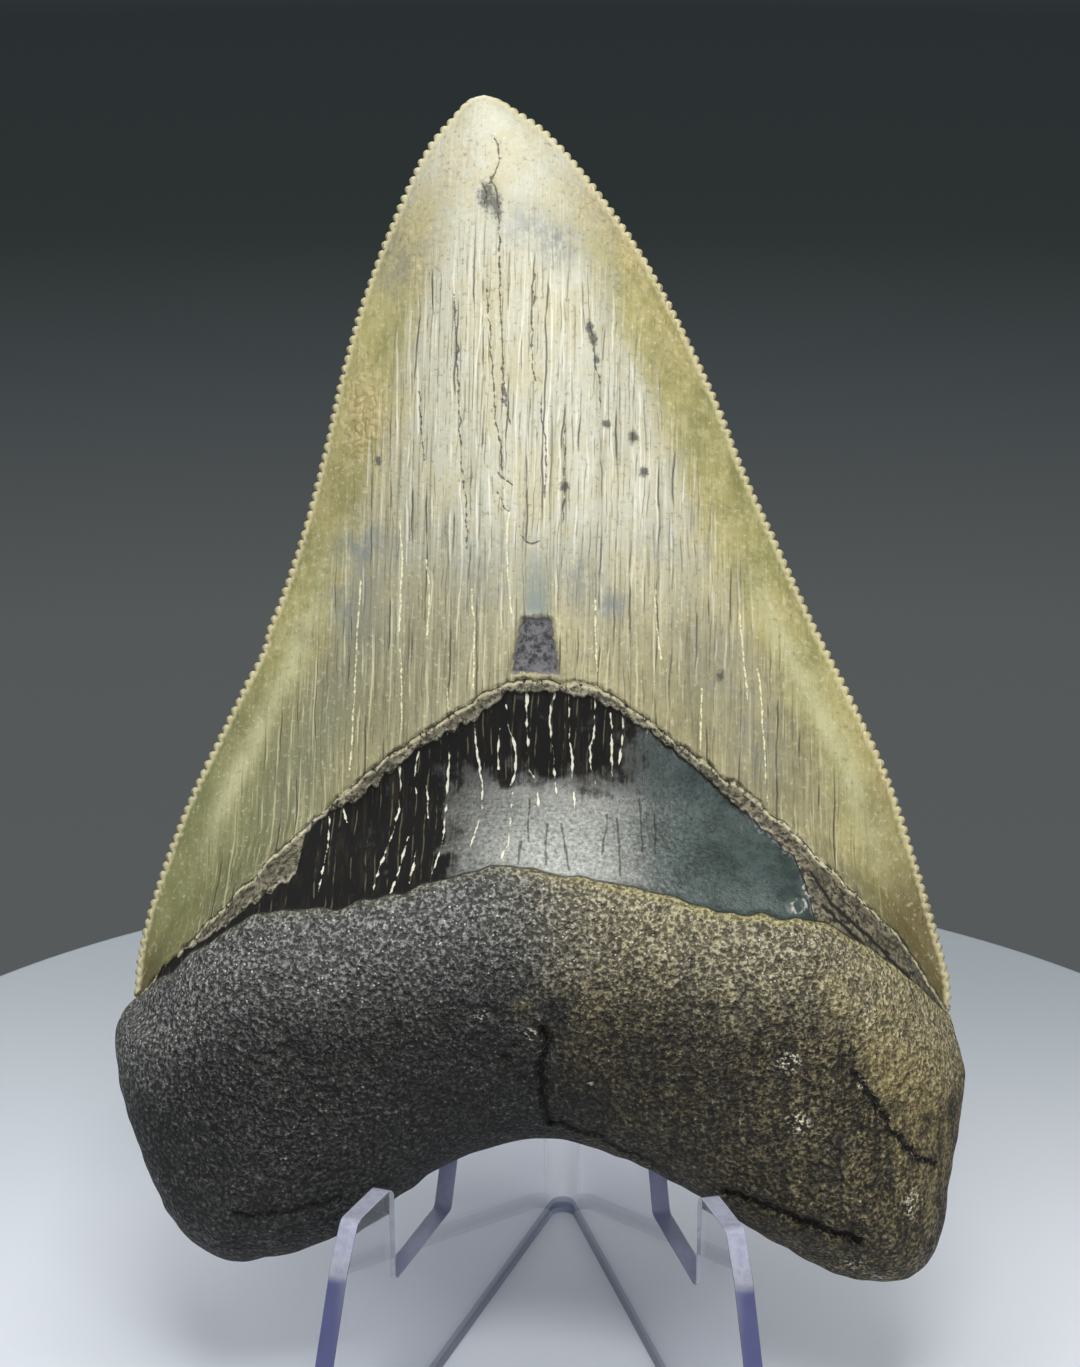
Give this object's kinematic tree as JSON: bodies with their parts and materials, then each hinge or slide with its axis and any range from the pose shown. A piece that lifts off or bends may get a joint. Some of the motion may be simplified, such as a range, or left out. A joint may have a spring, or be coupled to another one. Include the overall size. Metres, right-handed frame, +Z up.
{
  "type": "fossil megalodon tooth on a display stand",
  "caption": "Large serrated fossil shark tooth with a thick two-lobed root, leaning back in a clear acrylic easel folded into a V.",
  "frame": {"origin": "centre of the whole object's bounding box, on the surface it stands on", "axes": "+Z up, -Y towards the viewer and out of the open side of the V, +X to the viewer's right"},
  "size_m": [0.0914, 0.077, 0.1338],
  "materials": {
    "fossil_tooth": "satin enamel crown, matte granular root",
    "clear_acrylic": "clear polished acrylic"
  },
  "bodies": {
    "root": {"tooth": "fossil_tooth", "stand": "clear_acrylic"}
  },
  "joints": []
}
